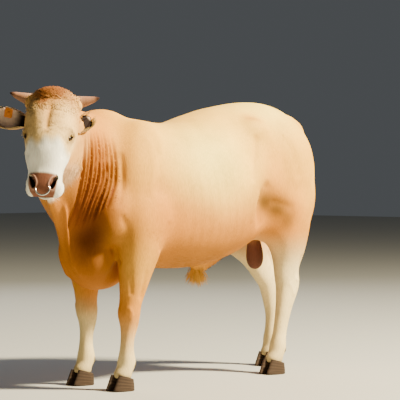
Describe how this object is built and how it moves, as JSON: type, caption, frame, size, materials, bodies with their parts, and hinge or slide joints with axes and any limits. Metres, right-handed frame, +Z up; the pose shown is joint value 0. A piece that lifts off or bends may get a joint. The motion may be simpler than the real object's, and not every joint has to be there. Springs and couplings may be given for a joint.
{
  "type": "beef bull",
  "caption": "Life-size standing beef bull with short horns, turned head, nose ring and ear tag, parted into body nodes.",
  "frame": {"origin": "middle of the bounding box in plan, on the floor under the claws", "axes": "+Z up, -Y the way the body faces, +X the bull's left side"},
  "size_m": [0.7002, 2.33, 1.5305],
  "materials": {
    "barrel": "cream to tan coat",
    "claw_front_left_inner": "smooth grey-brown horn",
    "claw_front_left_outer": "smooth grey-brown horn",
    "claw_front_right_inner": "smooth grey-brown horn",
    "claw_front_right_outer": "smooth grey-brown horn",
    "claw_hind_left_inner": "smooth grey-brown horn",
    "claw_hind_left_outer": "smooth grey-brown horn",
    "claw_hind_right_inner": "smooth grey-brown horn",
    "claw_hind_right_outer": "smooth grey-brown horn",
    "ear_left": "haired, dark inside",
    "ear_right": "haired, dark inside",
    "ear_tag": "plain moulded orange",
    "eye_left": "wet dark brown",
    "eye_right": "wet dark brown",
    "forequarters": "tan coat",
    "front_left_lower": "cream coat",
    "front_left_upper": "tan coat",
    "front_right_lower": "cream coat",
    "front_right_upper": "tan coat",
    "head": "cream face, haired",
    "hind_left_lower": "cream coat",
    "hind_left_upper": "tan coat",
    "hind_right_lower": "cream coat",
    "hind_right_upper": "tan coat",
    "hindquarters": "cream to tan coat",
    "horn_left": "pale horn with a dark tip",
    "horn_right": "pale horn with a dark tip",
    "neck": "tan coat",
    "nose_ring": "smooth metal ring",
    "scrotum": "bare mauve-brown skin",
    "tail": "tan coat, longer hair in the switch",
    "tail_switch": "tan coat, longer hair in the switch"
  },
  "bodies": {
    "root": {"barrel": "barrel", "claw_front_left_inner": "claw_front_left_inner", "claw_front_left_outer": "claw_front_left_outer", "claw_front_right_inner": "claw_front_right_inner", "claw_front_right_outer": "claw_front_right_outer", "claw_hind_left_inner": "claw_hind_left_inner", "claw_hind_left_outer": "claw_hind_left_outer", "claw_hind_right_inner": "claw_hind_right_inner", "claw_hind_right_outer": "claw_hind_right_outer", "ear_left": "ear_left", "ear_right": "ear_right", "ear_tag": "ear_tag", "eye_left": "eye_left", "eye_right": "eye_right", "forequarters": "forequarters", "front_left_lower": "front_left_lower", "front_left_upper": "front_left_upper", "front_right_lower": "front_right_lower", "front_right_upper": "front_right_upper", "head": "head", "hind_left_lower": "hind_left_lower", "hind_left_upper": "hind_left_upper", "hind_right_lower": "hind_right_lower", "hind_right_upper": "hind_right_upper", "hindquarters": "hindquarters", "horn_left": "horn_left", "horn_right": "horn_right", "neck": "neck", "nose_ring": "nose_ring", "scrotum": "scrotum", "tail": "tail", "tail_switch": "tail_switch"}
  },
  "joints": []
}
